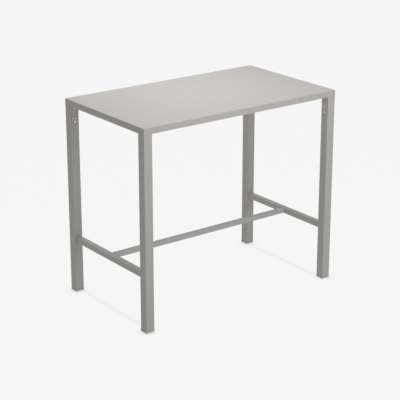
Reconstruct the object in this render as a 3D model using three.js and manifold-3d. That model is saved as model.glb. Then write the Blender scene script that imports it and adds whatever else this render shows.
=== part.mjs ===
// Standing meeting table: a folded metal top on four square legs, braced low down by an H of rails.
// Sizes are in millimetres. +X runs along the long side, +Y along the short side and +Z up.
// The origin is on the floor, below the middle of the top.
import * as THREE from "three";
import { mergeVertices } from "three/addons/utils/BufferGeometryUtils.js";
import Module from "manifold-3d";

// Overall size
const tableLength = 1275;
const tableWidth = 740;
const tableHeight = 1107;

// Gap left where two pieces meet, and the radial gap of a screw in its thread
const seam = 0.3;
const threadGap = 0.1;

// Top panel: one sheet with its four edges turned down
const panelSheet = 2.5;
const panelCornerRadius = 2;

// Frame of square tube under the panel
const frameTube = 25;
const frameWall = 2;
const frameCornerRadius = 1;
const crossBarCount = 3;

// Corner plates welded under the frame
const plateThickness = 6;
const plateSize = 90;
const plateChamfer = 30;

// Legs of square tube, set in a little from the panel's edges, with a slot down the top of each inner wall
const legTube = 50;
const legWall = 3;
const legCornerRadius = 1;
const legInset = 1.25;
const legSlotWidth = 34;
const legSlotDepth = 70;

// Corner posts: angles welded under the corner plates, which the legs slide over
const postThickness = 4;
const postBelowScrew = 23;

// Foot plugs, and the glide pads pressed into them from below
const footFlangeHeight = 6;
const footFlangeProud = 1;
const footPlugDepth = 25;
const footPlugWall = 3;
const padHeight = 7;
const padSetback = 0.5;
const padPegDiameter = 12;

// Rails of the foot rest, all on one centre line
const railHeight = 312;
const endRailTube = 31;
const centreRailTube = 26;
const railWall = 1.5;
const railCornerRadius = 1;

// Button-head screws and their weld nuts
const screwDiameter = 6;
const headDiameter = 10.5;
const headHeight = 3.3;
const headRim = 0.8;
const headFlatDiameter = 5.6;
const socketWidth = 4;
const socketDepth = 1.8;
const legScrewLength = 12;
const nutWidth = 10;
const nutThickness = 5;

// Places of the screws on a leg: from its top end, from the foot of its slots and off the middle of a face
const upperBoltDrop = 16;
const lowerBoltRise = 15;
const lowerBoltShift = 4;
const legScrewDrop = 17;

// Facets of rounded corners, round holes, screw heads and hexagons
const cornerSteps = 2;
const roundSteps = 24;
const headSteps = 4;
const hexagonSides = 6;

// How far a cutting shape runs past the face that it cuts
const cutOver = 5;

// Sizes that follow from the ones above
const edgeHeight = panelSheet + seam + frameTube + seam + plateThickness;
const topUnderside = tableHeight - edgeHeight;
const frameInset = panelSheet + seam;
const frameHeight = topUnderside + plateThickness + seam + frameTube / 2;
const frameX = tableLength / 2 - frameInset - frameTube / 2;
const frameY = tableWidth / 2 - frameInset - frameTube / 2;
const legBore = legTube - 2 * legWall;
const legBoreRadius = Math.max(legCornerRadius - legWall, 0);
const legX = tableLength / 2 - legInset - legTube / 2;
const legY = tableWidth / 2 - legInset - legTube / 2;
const plugBottom = padHeight + seam;
const legBottom = plugBottom + footFlangeHeight + seam;
const legTop = topUnderside - seam;
const legLength = legTop - legBottom;
const legMiddle = (legTop + legBottom) / 2;
const insertWidth = legBore - 2 * seam;
const insertRadius = Math.max(legBoreRadius - seam, 0);
const legScrewHeight = legTop - legSlotDepth - legScrewDrop;
const postBottom = legScrewHeight - postBelowScrew;
const boltHeight = { x: legTop - legSlotDepth + lowerBoltRise, y: legTop - upperBoltDrop };
const boltShift = { x: lowerBoltShift, y: 0 };
const boltLength = insertWidth;

// The axis that runs across each inner face
const across = { x: "y", y: "x" };

// Finishes
const coat = { color: 0xb7b3ac, roughness: 0.5, metalness: 0.1 };
const stainless = { color: 0xd2d1ce, roughness: 0.28, metalness: 1 };
const plastic = { color: 0xb4b2ae, roughness: 0.7, metalness: 0 };
const nylon = { color: 0xe6e5e1, roughness: 0.6, metalness: 0 };

const wasm = await Module();
wasm.setup();
const table = new THREE.Group();

// Turns a closed geometry into a solid that can be joined and cut.
function solid(geometry) {
  geometry.deleteAttribute("normal");
  geometry.deleteAttribute("uv");
  const merged = mergeVertices(geometry);
  const vertProperties = new Float32Array(merged.attributes.position.array);
  const corners = merged.index.array;
  const triVerts = [];
  for (let i = 0; i < corners.length; i += 3) {
    const [a, b, c] = [corners[i], corners[i + 1], corners[i + 2]];
    if (a !== b && b !== c && c !== a) triVerts.push(a, b, c);
  }
  const mesh = new wasm.Mesh({ numProp: 3, vertProperties, triVerts: new Uint32Array(triVerts) });
  return new wasm.Manifold(mesh);
}

// Adds a finished solid to the table as one named piece.
function addPiece(name, shape, finish, x, y, z) {
  const { vertProperties, triVerts } = shape.getMesh();
  const geometry = new THREE.BufferGeometry();
  geometry.setAttribute("position", new THREE.BufferAttribute(vertProperties, 3));
  geometry.setIndex(new THREE.BufferAttribute(triVerts, 1));
  geometry.computeVertexNormals();
  const mesh = new THREE.Mesh(geometry, new THREE.MeshStandardMaterial(finish));
  mesh.name = name;
  mesh.position.set(x, y, z);
  table.add(mesh);
  return mesh;
}

// Draws a rectangle about the origin, with its corners rounded where they have a radius.
function rectangle(path, width, depth, radius) {
  const [x, y] = [width / 2, depth / 2];
  if (radius <= 0) {
    path.moveTo(-x, -y).lineTo(x, -y).lineTo(x, y).lineTo(-x, y).closePath();
    return path;
  }
  const quarter = Math.PI / 2;
  path.moveTo(x - radius, -y);
  path.absarc(x - radius, -y + radius, radius, -quarter, 0);
  path.absarc(x - radius, y - radius, radius, 0, quarter);
  path.absarc(-x + radius, y - radius, radius, quarter, 2 * quarter);
  path.absarc(-x + radius, -y + radius, radius, 2 * quarter, 3 * quarter);
  path.closePath();
  return path;
}

// Raises an outline from the plane z = 0.
function raise(outline, height) {
  const options = { depth: height, curveSegments: cornerSteps, bevelEnabled: false };
  return new THREE.ExtrudeGeometry(outline, options);
}

// A straight bar with rounded edges that stands on z = 0.
function bar(width, depth, radius, height) {
  return raise(rectangle(new THREE.Shape(), width, depth, radius), height);
}

// A square tube along X, Y or Z, open at both ends, with its middle at the origin.
function tube(axis, width, wall, radius, length) {
  const bore = width - 2 * wall;
  const outside = bar(width, width, radius, length).translate(0, 0, -length / 2);
  const inside = bar(bore, bore, Math.max(radius - wall, 0), length + 2 * cutOver);
  inside.translate(0, 0, -length / 2 - cutOver);
  for (const geometry of [outside, inside]) {
    if (axis === "x") geometry.rotateY(Math.PI / 2);
    if (axis === "y") geometry.rotateX(Math.PI / 2);
  }
  return solid(outside).subtract(solid(inside));
}

// A round rod along X or Y that runs from one distance to another, beside the origin and above it.
function rod(axis, radius, from, to, beside, z) {
  const geometry = new THREE.CylinderGeometry(radius, radius, Math.abs(to - from), roundSteps);
  geometry.translate(axis === "x" ? -beside : beside, (from + to) / 2, 0);
  if (axis === "x") geometry.rotateZ(-Math.PI / 2);
  return solid(geometry.translate(0, 0, z));
}

// The top panel is a shallow tray turned upside down. Its rounding is limited by the sheet.
function addTopPanel() {
  const radius = Math.min(panelCornerRadius, panelSheet);
  const block = solid(bar(tableLength, tableWidth, radius, edgeHeight));
  const inside = [tableLength - 2 * panelSheet, tableWidth - 2 * panelSheet];
  const hollow = bar(...inside, 0, edgeHeight - panelSheet + cutOver).translate(0, 0, -cutOver);
  addPiece("top_panel", block.subtract(solid(hollow)), coat, 0, 0, topUnderside);
}

// Two long rails run the whole inside length, and the short rails and cross bars fit between them.
function addFrame() {
  const section = [frameTube, frameWall, frameCornerRadius];
  const longRail = tube("x", ...section, tableLength - 2 * frameInset);
  const shortRail = tube("y", ...section, 2 * frameY - frameTube - 2 * seam);
  addPiece("frame_rail_front", longRail, coat, 0, -frameY, frameHeight);
  addPiece("frame_rail_back", longRail, coat, 0, frameY, frameHeight);
  addPiece("frame_rail_left", shortRail, coat, -frameX, 0, frameHeight);
  addPiece("frame_rail_right", shortRail, coat, frameX, 0, frameHeight);
  const pitch = (2 * frameX) / (crossBarCount + 1);
  for (let i = 1; i <= crossBarCount; i += 1) {
    addPiece(`cross_bar_${i}`, shortRail, coat, i * pitch - frameX, 0, frameHeight);
  }
}

// The three rails of the foot rest. The end rails butt on the legs, and the centre rail on the end rails.
function addRails() {
  const endLength = 2 * legY - legTube - 2 * seam;
  const centreLength = 2 * legX - endRailTube - 2 * seam;
  const endRail = tube("y", endRailTube, railWall, railCornerRadius, endLength);
  const centreRail = tube("x", centreRailTube, railWall, railCornerRadius, centreLength);
  addPiece("end_rail_left", endRail, coat, -legX, 0, railHeight);
  addPiece("end_rail_right", endRail, coat, legX, 0, railHeight);
  addPiece("centre_rail", centreRail, coat, 0, 0, railHeight);
}

// A corner plate lies in the panel's corner, with its own inner corner cut off.
function addCornerPlate(corner) {
  const { name, out, inward } = corner;
  const outline = new THREE.Shape();
  outline.moveTo(0, 0);
  outline.lineTo(inward.x * plateSize, 0);
  outline.lineTo(inward.x * plateSize, inward.y * (plateSize - plateChamfer));
  outline.lineTo(inward.x * (plateSize - plateChamfer), inward.y * plateSize);
  outline.lineTo(0, inward.y * plateSize);
  outline.closePath();
  const x = out.x * (tableLength / 2 - frameInset);
  const y = out.y * (tableWidth / 2 - frameInset);
  addPiece(`corner_plate_${name}`, solid(raise(outline, plateThickness)), coat, x, y, topUnderside);
}

// A leg's inner walls each have a slot, open at the top, which shows the post, and a screw hole below it.
function addLeg(corner) {
  const { name, inward, x, y } = corner;
  const holeRadius = screwDiameter / 2 + seam;
  let leg = tube("z", legTube, legWall, legCornerRadius, legLength);
  for (const axis of ["x", "y"]) {
    const from = inward[axis] * (legBore / 2 - cutOver);
    const to = inward[axis] * (legTube / 2 + cutOver);
    const slot = bar(Math.abs(to - from), legSlotWidth, 0, legSlotDepth + cutOver);
    slot.translate((from + to) / 2, 0, legLength / 2 - legSlotDepth);
    if (axis === "y") slot.rotateZ(Math.PI / 2);
    const hole = rod(axis, holeRadius, from, to, 0, legScrewHeight - legMiddle);
    leg = leg.subtract(solid(slot)).subtract(hole);
  }
  addPiece(`leg_${name}`, leg, coat, x, y, legMiddle);
}

// A corner post is an angle that fills the leg's bore along its two inner walls.
function addCornerPost(corner) {
  const { name, inward, x, y } = corner;
  const postLength = legTop - postBottom;
  const hollow = bar(insertWidth, insertWidth, 0, postLength + 2 * cutOver);
  hollow.translate(-inward.x * postThickness, -inward.y * postThickness, -cutOver);
  let post = solid(bar(insertWidth, insertWidth, insertRadius, postLength)).subtract(solid(hollow));
  for (const axis of ["x", "y"]) {
    const from = inward[axis] * (insertWidth / 2 - postThickness - cutOver);
    const to = inward[axis] * (insertWidth / 2 + cutOver);
    const beside = inward[across[axis]] * boltShift[axis];
    const boltHole = rod(axis, screwDiameter / 2 + seam, from, to, beside, boltHeight[axis] - postBottom);
    const threadHole = rod(axis, screwDiameter / 2 + threadGap, from, to, 0, legScrewHeight - postBottom);
    post = post.subtract(boltHole).subtract(threadHole);
  }
  addPiece(`corner_post_${name}`, post, coat, x, y, postBottom);
}

// A hexagonal bar along Y, given its width across flats, with its middle at the origin.
function hexagon(width, length) {
  const radius = width / 2 / Math.cos(Math.PI / hexagonSides);
  return new THREE.CylinderGeometry(radius, radius, length, hexagonSides);
}

// A button-head screw along +Y: the head's underside is at the origin and the shank runs to -Y.
function buttonScrew(length) {
  const profile = [new THREE.Vector2(0, -length)];
  profile.push(new THREE.Vector2(screwDiameter / 2, -length));
  profile.push(new THREE.Vector2(screwDiameter / 2, 0));
  profile.push(new THREE.Vector2(headDiameter / 2, 0));
  const crown = (headDiameter - headFlatDiameter) / 2;
  for (let i = 0; i <= headSteps; i += 1) {
    const turn = (i / headSteps) * (Math.PI / 2);
    const radius = headFlatDiameter / 2 + crown * Math.cos(turn);
    profile.push(new THREE.Vector2(radius, headRim + (headHeight - headRim) * Math.sin(turn)));
  }
  profile.push(new THREE.Vector2(0, headHeight));
  const socket = hexagon(socketWidth, socketDepth + cutOver);
  socket.translate(0, headHeight + (cutOver - socketDepth) / 2, 0);
  return solid(new THREE.LatheGeometry(profile, roundSteps)).subtract(solid(socket));
}

// A weld nut along Y, with its middle at the origin.
function weldNut() {
  const reach = nutThickness / 2 + cutOver;
  const bore = rod("y", screwDiameter / 2 + threadGap, -reach, reach, 0, 0);
  return solid(hexagon(nutWidth, nutThickness)).subtract(bore);
}

// Each inner face of a corner has a long bolt through the post and a short screw through the leg.
function addFasteners(corner) {
  const postBolt = buttonScrew(boltLength);
  const legScrew = buttonScrew(legScrewLength);
  const nut = weldNut();
  const boltSeat = insertWidth / 2 + seam;
  const screwSeat = legTube / 2 + seam;
  const nutSeat = -(insertWidth - nutThickness) / 2;
  for (const axis of ["x", "y"]) {
    const side = corner.inward[axis];
    const beside = corner.inward[across[axis]] * boltShift[axis];
    const add = (name, shape, distance, shift, z) => {
      const place = { x: corner.x, y: corner.y };
      place[axis] += side * distance;
      place[across[axis]] += shift;
      const mesh = addPiece(`${name}_${axis}_${corner.name}`, shape, stainless, place.x, place.y, z);
      mesh.rotation.z = axis === "x" ? (-side * Math.PI) / 2 : ((1 - side) * Math.PI) / 2;
    };
    add("post_bolt", postBolt, boltSeat, beside, boltHeight[axis]);
    add("weld_nut", nut, nutSeat, beside, boltHeight[axis]);
    add("leg_screw", legScrew, screwSeat, 0, legScrewHeight);
  }
}

// An upright round rod.
function upright(radius, bottom, top) {
  const geometry = new THREE.CylinderGeometry(radius, radius, top - bottom, roundSteps);
  return solid(geometry.rotateX(Math.PI / 2).translate(0, 0, (bottom + top) / 2));
}

// A foot plug is a hollow block pushed into the leg, with a flange that covers the tube's end.
function addFootPlug(corner) {
  const flangeWidth = legTube + 2 * footFlangeProud;
  const flange = solid(bar(flangeWidth, flangeWidth, legCornerRadius + footFlangeProud, footFlangeHeight));
  const plug = solid(bar(insertWidth, insertWidth, insertRadius, footFlangeHeight + footPlugDepth));
  const hollowWidth = insertWidth - 2 * footPlugWall;
  const hollow = bar(hollowWidth, hollowWidth, 0, footPlugDepth + cutOver);
  hollow.translate(0, 0, footFlangeHeight);
  const pegHole = upright(padPegDiameter / 2 + seam, -cutOver, footFlangeHeight + cutOver);
  const shape = flange.add(plug).subtract(solid(hollow)).subtract(pegHole);
  addPiece(`foot_plug_${corner.name}`, shape, plastic, corner.x, corner.y, plugBottom);
}

// A glide pad lies under the plug's flange, and its peg goes up through the flange.
function addFootPad(corner) {
  const padWidth = legTube + 2 * (footFlangeProud - padSetback);
  const padRadius = Math.max(legCornerRadius + footFlangeProud - padSetback, 0);
  const plate = solid(bar(padWidth, padWidth, padRadius, padHeight));
  const peg = upright(padPegDiameter / 2, 0, plugBottom + footFlangeHeight);
  addPiece(`foot_pad_${corner.name}`, plate.add(peg), nylon, corner.x, corner.y, 0);
}

// The four corners, seen from the front long side
const corners = [];
for (const [depthName, outY] of [["front", -1], ["back", 1]]) {
  for (const [sideName, outX] of [["left", -1], ["right", 1]]) {
    const out = { x: outX, y: outY };
    const inward = { x: -outX, y: -outY };
    corners.push({ name: `${depthName}_${sideName}`, out, inward, x: outX * legX, y: outY * legY });
  }
}

addTopPanel();
addFrame();
addRails();
for (const corner of corners) {
  addCornerPlate(corner);
  addCornerPost(corner);
  addLeg(corner);
  addFootPlug(corner);
  addFootPad(corner);
  addFasteners(corner);
}

export default table;
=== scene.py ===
# %% [markdown]
# # A standing meeting table
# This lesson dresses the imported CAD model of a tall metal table. Its top is a thin tray of
# folded sheet, turned upside down. It stands on four square legs, and an H of rails near the
# floor braces them and takes a foot. The CAD model is the frame of the lesson: it says where
# each piece is and how big it is, and Blender never moves it. Piece by piece, we make a finer
# shape in the place of the plain one and give it the finish of the real thing.

# %% Load the frame
import math

import bmesh
import bpy
from mathutils import Euler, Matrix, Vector


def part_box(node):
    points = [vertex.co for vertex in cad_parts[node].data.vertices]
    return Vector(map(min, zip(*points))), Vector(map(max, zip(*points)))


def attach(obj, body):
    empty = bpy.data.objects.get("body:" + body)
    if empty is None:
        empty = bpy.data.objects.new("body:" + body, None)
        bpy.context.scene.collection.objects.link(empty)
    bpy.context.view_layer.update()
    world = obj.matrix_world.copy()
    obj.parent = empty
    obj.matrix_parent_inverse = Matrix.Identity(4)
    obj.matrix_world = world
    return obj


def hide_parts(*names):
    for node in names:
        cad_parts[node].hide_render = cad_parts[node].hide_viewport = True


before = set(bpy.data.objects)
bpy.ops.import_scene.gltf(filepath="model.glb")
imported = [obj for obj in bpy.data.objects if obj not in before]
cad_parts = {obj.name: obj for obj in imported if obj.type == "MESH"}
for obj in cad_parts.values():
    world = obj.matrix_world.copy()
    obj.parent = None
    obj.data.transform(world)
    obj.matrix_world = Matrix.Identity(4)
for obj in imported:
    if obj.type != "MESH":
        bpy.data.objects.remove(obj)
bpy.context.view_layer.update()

MM = 0.001
scene = bpy.context.scene

# %% [markdown]
# ## The camera
# A camera that stands where the photographer stood makes every later comparison fair. Its
# place, turn and lens were worked out from the straight edges of the table in the picture,
# which run along three known directions. The upright edges lean a little less than the
# camera's tilt would give, so the lens is shifted down by a twentieth of the frame.

# %% Camera
camera_data = bpy.data.cameras.new("photo_camera")
camera_data.sensor_width = 36.0
camera_data.lens = 115.879
camera_data.shift_y = -0.05
camera_data.clip_end = 100.0
camera = bpy.data.objects.new("photo_camera", camera_data)
camera.location = (-4.07259, -5.38857, 2.86786)
heading, tilt = math.radians(52.9988), math.radians(18.4313)
level = math.cos(tilt)
sight = Vector((level * math.cos(heading), level * math.sin(heading), -math.sin(tilt)))
camera.rotation_euler = sight.to_track_quat("-Z", "Y").to_euler()
scene.collection.objects.link(camera)
scene.camera = camera
print("camera", [round(v, 3) for v in camera.location], "lens", camera_data.lens)

# %% [markdown]
# ## Building node trees in a script
# Finishes and repeated pieces are both made of nodes here. Linking nodes one by one is long
# winded, so small helpers do it. One feeds a socket with a number or with another node's output.
# Another adds a node, sets its options and feeds its inputs in one line. The rest are steps that
# come up again and again: arithmetic, a group with named sockets, and a colour.


# %% Node helpers
def feed(tree, socket, value):
    """Give an input socket a value, or link it to one output or to a list of outputs."""
    for item in value if isinstance(value, list) else [value]:
        if isinstance(item, bpy.types.NodeSocket):
            tree.links.new(item, socket)
        else:
            socket.default_value = item


def place(tree, kind, inputs=None, **options):
    """Add a node, set its options, and feed the inputs that are named or numbered."""
    node = tree.nodes.new(kind)
    for name, value in options.items():
        setattr(node, name, value)
    for name, value in (inputs or {}).items():
        feed(tree, node.inputs[name], value)
    return node


def sums(tree, operation, first, second=0.0, clamp=False):
    """One step of arithmetic; gives the output socket."""
    node = place(
        tree, "ShaderNodeMath", {0: first, 1: second}, operation=operation, use_clamp=clamp)
    return node.outputs[0]


print("node helpers:", feed.__name__, place.__name__, sums.__name__)

# %% Groups and colours
FLOAT, VECTOR = "NodeSocketFloat", "NodeSocketVector"


def new_group(name, kind, inputs, outputs):
    """A node group with named sockets; gives the tree, its input node and its output node."""
    tree = bpy.data.node_groups.new(name, kind)
    for label, socket_kind, value in inputs:
        socket = tree.interface.new_socket(label, in_out="INPUT", socket_type=socket_kind)
        if value is not None:
            socket.default_value = value
    for label, socket_kind in outputs:
        tree.interface.new_socket(label, in_out="OUTPUT", socket_type=socket_kind)
    return tree, tree.nodes.new("NodeGroupInput"), tree.nodes.new("NodeGroupOutput")


def tone(red, green, blue):
    """A colour as a picture editor shows it, 0 to 255, in Blender's linear light."""
    share = [v / 255 for v in (red, green, blue)]
    linear = [v / 12.92 if v <= 0.04045 else ((v + 0.055) / 1.055) ** 2.4 for v in share]
    return (*linear, 1.0)


print("a mid grey in linear light:", round(tone(128, 128, 128)[0], 3))

# %% [markdown]
# ## Studio light and floor
# The picture was taken in a white studio: soft light from above and from the front, and a
# ground so bright that it hardly keeps a shadow. That ground also lights the table from below,
# which is why the faces that the lamps miss are all the same even grey. Turning the lamps up
# would bleach the coat, so the ground's brightness is put in its own material instead. To the
# camera, and to shiny things, the floor is mostly a plain glow with a little lit surface that
# keeps the shadow. To all other light it is a dimmer glow. A glow keeps no shadow of its own, so
# within a few centimetres of a foot it is dimmed by how much of the sky the foot hides.

# %% World
WHITE, GROUND = (1.0, 1.0, 1.0, 1.0), tone(246, 246, 246)
ROOM = 0.24


def looked_at(tree):
    """1 for what the camera sees, also in a shiny or a clear thing, and 0 for all other light."""
    rays = place(tree, "ShaderNodeLightPath").outputs
    seen = sums(tree, "MAXIMUM", rays["Is Camera Ray"], rays["Is Glossy Ray"])
    return sums(tree, "MAXIMUM", seen, rays["Is Transmission Ray"])


world = bpy.data.worlds.new("studio")
world.use_nodes = True
scene.world = world
tree = world.node_tree
tree.nodes.clear()
room_light = place(tree, "ShaderNodeBackground", {"Color": WHITE, "Strength": ROOM})
backdrop = place(tree, "ShaderNodeBackground", {"Color": GROUND, "Strength": 1.0})
mixed = place(tree, "ShaderNodeMixShader", {
    0: looked_at(tree), 1: room_light.outputs[0], 2: backdrop.outputs[0]})
place(tree, "ShaderNodeOutputWorld", {"Surface": mixed.outputs[0]})
print("room light", ROOM)

# %% Floor
FLOOR_HALF = 20.0
floor_mesh = bpy.data.meshes.new("studio_floor")
corners = [(-FLOOR_HALF, -FLOOR_HALF), (FLOOR_HALF, -FLOOR_HALF),
           (FLOOR_HALF, FLOOR_HALF), (-FLOOR_HALF, FLOOR_HALF)]
floor_mesh.from_pydata([(x, y, 0.0) for x, y in corners], [], [(0, 1, 2, 3)])
floor = bpy.data.objects.new("studio_floor", floor_mesh)
scene.collection.objects.link(floor)
print("floor", 2 * FLOOR_HALF, "m wide")

# %% Floor finish
FROM_BELOW = 0.455
FLOOR_GLOW = 0.870
FLOOR_LIT = (0.025, 0.025, 0.025, 1.0)
CONTACT_REACH, CONTACT_DEPTH = 0.04, 0.35
floor_finish = bpy.data.materials.new("studio_floor")
floor_finish.use_nodes = True
tree = floor_finish.node_tree
tree.nodes.clear()
upward = place(tree, "ShaderNodeEmission", {"Color": WHITE, "Strength": FROM_BELOW})
around = place(tree, "ShaderNodeAmbientOcclusion", {"Distance": CONTACT_REACH}, samples=4)
hidden = sums(tree, "SUBTRACT", 1.0, around.outputs["AO"])
kept = sums(tree, "SUBTRACT", 1.0, sums(tree, "MULTIPLY", hidden, CONTACT_DEPTH))
strength = sums(tree, "MULTIPLY", kept, FLOOR_GLOW)
glow = place(tree, "ShaderNodeEmission", {"Color": GROUND, "Strength": strength})
lit = place(tree, "ShaderNodeBsdfDiffuse", {"Color": FLOOR_LIT})
bright = place(tree, "ShaderNodeAddShader", {0: glow.outputs[0], 1: lit.outputs[0]})
shown = place(tree, "ShaderNodeMixShader", {
    0: looked_at(tree), 1: upward.outputs[0], 2: bright.outputs[0]})
from_under = place(tree, "ShaderNodeNewGeometry").outputs["Backfacing"]
clear = place(tree, "ShaderNodeBsdfTransparent")
sided = place(tree, "ShaderNodeMixShader", {
    0: from_under, 1: shown.outputs[0], 2: clear.outputs[0]})
place(tree, "ShaderNodeOutputMaterial", {"Surface": sided.outputs[0]})
floor_mesh.materials.append(floor_finish)
print("floor finish", len(tree.nodes), "nodes")


# %% Lamps
def soft_box(name, spot, aim, size, watts):
    """A rectangular lamp that looks from one point at another."""
    lamp = bpy.data.lights.new(name, "AREA")
    lamp.shape = "RECTANGLE"
    lamp.size, lamp.size_y = size
    lamp.energy = watts
    item = bpy.data.objects.new(name, lamp)
    item.location = spot
    item.rotation_euler = (Vector(aim) - Vector(spot)).to_track_quat("-Z", "Y").to_euler()
    scene.collection.objects.link(item)
    return item


soft_box("over_middle", spot=(0.08, 0.12, 2.0), aim=(0.08, 0.12, 1.1), size=(0.6, 0.4), watts=2.05)
soft_box("over_back", spot=(0.0, 0.9, 2.8), aim=(0.0, 0.1, 1.1), size=(1.4, 1.0), watts=15.6)
soft_box("front_near", spot=(0.0, -1.6, 2.4), aim=(0.0, -0.35, 0.9), size=(2.0, 0.8), watts=13.6)
soft_box("front_low", spot=(0.6, -4.2, 1.6), aim=(0.0, 0.0, 0.7), size=(2.4, 1.6), watts=31.8)

# %% [markdown]
# ## Colour management
# The Standard view shows a colour as it is written, with no film curve on top, so a grey can be
# matched to the picture by its numbers.

# %% View
scene.view_settings.view_transform = "Standard"
print("view", scene.view_settings.view_transform)

# %% [markdown]
# ## Effects that the finishes share
# The coat is powder that was sprayed on dry and melted in an oven. Up close it is pebbled like
# the skin of an orange, from afar it is very slightly cloudy, and on sharp edges it lies thinner
# and rubs paler. Where the slots in the legs end, a pale metallic line is painted on: uncoated
# metal, and a painted highlight where that ledge catches the light. Dust settles on what faces up.
# All this could be painted onto each piece, but noise needs no picture and fits every size. Coat
# and plastic both show some of it, so each effect is a node group: built once, then placed in a
# finish with its own sizes.


# %% Pebbled surface
def noise(tree, at, per_metre, detail, roughness=0.5):
    """Clouds of values about a half, so many per metre; gives the output socket."""
    node = place(tree, "ShaderNodeTexNoise", {
        "Vector": at, "Scale": per_metre, "Detail": detail, "Roughness": roughness})
    return node.outputs["Fac"]


grain_group, given, result = new_group(
    "pebbled_surface", "ShaderNodeTree",
    [("Vector", VECTOR, None), ("Pebbles per m", FLOAT, 800.0), ("Clouds per m", FLOAT, 5.0)],
    [("Height", FLOAT), ("Cloud", FLOAT)],
)
at = given.outputs["Vector"]
pebbles = noise(grain_group, at, given.outputs["Pebbles per m"], detail=2.0, roughness=0.45)
clouds = noise(grain_group, at, given.outputs["Clouds per m"], detail=3.0, roughness=0.55)
feed(grain_group, result.inputs["Height"], pebbles)
feed(grain_group, result.inputs["Cloud"], clouds)
print("group", grain_group.name, [s.name for s in grain_group.interface.items_tree])

# %% Rubbed edges
EDGE_GAIN = 5.0
edge_group, given, result = new_group(
    "rubbed_edges", "ShaderNodeTree",
    [("Vector", VECTOR, None), ("Width", FLOAT, 0.002), ("Breaks per m", FLOAT, 60.0)],
    [("Mask", FLOAT)],
)
rounded = place(edge_group, "ShaderNodeBevel", {"Radius": given.outputs["Width"]}, samples=4)
facing = place(edge_group, "ShaderNodeNewGeometry")
agree = place(edge_group, "ShaderNodeVectorMath", {
    0: rounded.outputs["Normal"], 1: facing.outputs["Normal"]}, operation="DOT_PRODUCT")
turned = sums(edge_group, "SUBTRACT", 1.0, agree.outputs["Value"])
turned = sums(edge_group, "MULTIPLY", turned, EDGE_GAIN, clamp=True)
breaks = noise(edge_group, given.outputs["Vector"], given.outputs["Breaks per m"], detail=3.0)
feed(edge_group, result.inputs["Mask"], sums(edge_group, "MULTIPLY", turned, breaks))
print("group", edge_group.name, [s.name for s in edge_group.interface.items_tree])

# %% Ledge line, painted highlight
# A painted highlight: a pale metallic line on uncoated metal where the slot's ledge catches the
# light. It lies on the walls that look across the table to its middle: there a point's Y and its
# normal's Y have opposite signs. It ends just above the ledge and frays out below it.
FACES_MIDDLE = -0.1
LINE_ABOVE = 0.5 * MM
ledge_highlight_group, given, result = new_group(
    "worn_line", "ShaderNodeTree",
    [("Vector", VECTOR, None), ("Height", FLOAT, 1.0), ("Middle", FLOAT, 0.6),
     ("Half length", FLOAT, 0.017), ("Width", FLOAT, 0.0018), ("Breaks per m", FLOAT, 90.0)],
    [("Mask", FLOAT)],
)
spot = place(ledge_highlight_group, "ShaderNodeSeparateXYZ", {0: given.outputs["Vector"]}).outputs
facing = place(ledge_highlight_group, "ShaderNodeNewGeometry").outputs["Normal"]
way = place(ledge_highlight_group, "ShaderNodeSeparateXYZ", {0: facing}).outputs
inner = sums(ledge_highlight_group, "MULTIPLY", spot["Y"], way["Y"])
inner = sums(ledge_highlight_group, "LESS_THAN", inner, FACES_MIDDLE)
aside = sums(ledge_highlight_group, "ABSOLUTE", spot["X"])
aside = sums(ledge_highlight_group, "SUBTRACT", aside, given.outputs["Middle"])
inside = sums(ledge_highlight_group, "ABSOLUTE", aside)
inside = sums(ledge_highlight_group, "LESS_THAN", inside, given.outputs["Half length"])
breaks = noise(ledge_highlight_group, given.outputs["Vector"], given.outputs["Breaks per m"], detail=2.0)
reach = sums(ledge_highlight_group, "MULTIPLY", breaks, 2.0)
reach = sums(ledge_highlight_group, "MULTIPLY", reach, given.outputs["Width"])
below = sums(ledge_highlight_group, "SUBTRACT", given.outputs["Height"], spot["Z"])
highlit = sums(ledge_highlight_group, "LESS_THAN", below, reach)
under = sums(ledge_highlight_group, "GREATER_THAN", below, -LINE_ABOVE)
for limit in (inner, inside, under):
    highlit = sums(ledge_highlight_group, "MULTIPLY", highlit, limit)
feed(ledge_highlight_group, result.inputs["Mask"], highlit)
print("group", ledge_highlight_group.name, [s.name for s in ledge_highlight_group.interface.items_tree])

# %% Settled dust
DUST_SLOPE = 0.5
dust_group, given, result = new_group(
    "settled_dust", "ShaderNodeTree",
    [("Vector", VECTOR, None), ("Patches per m", FLOAT, 14.0)],
    [("Mask", FLOAT)],
)
facing = place(dust_group, "ShaderNodeNewGeometry").outputs["Normal"]
faces_up = place(dust_group, "ShaderNodeSeparateXYZ", {0: facing}).outputs["Z"]
faces_up = sums(dust_group, "SUBTRACT", faces_up, DUST_SLOPE)
faces_up = sums(dust_group, "SMOOTH_MAX", faces_up, 0.0)
faces_up = sums(dust_group, "MULTIPLY", faces_up, 1 / (1 - DUST_SLOPE), clamp=True)
patches = noise(
    dust_group, given.outputs["Vector"], given.outputs["Patches per m"], detail=6.0, roughness=0.7)
feed(dust_group, result.inputs["Mask"], sums(dust_group, "MULTIPLY", faces_up, patches))
print("group", dust_group.name, [s.name for s in dust_group.interface.items_tree])

# %% [markdown]
# ## The powder coat
# One warm light grey coat covers the top, the legs, the rails and all that is welded to them. It
# is satin: it shows a broad, faint sheen and no mirror image. One plain grey would do from afar,
# but up close it looks like plastic. So the base colour takes the clouds, the paler edges and a
# breath of dust, and the pebbles go into the bump. The top's grey is a touch warmer, a painted
# tint for the light that falls on it. The posts in the legs get a slightly paler coat, painted
# lighter against the shade in the slots, and the weld beads a rougher one. The legs have the
# painted highlight line as well, so their coat is made later, when the size of the slots is known.


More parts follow.
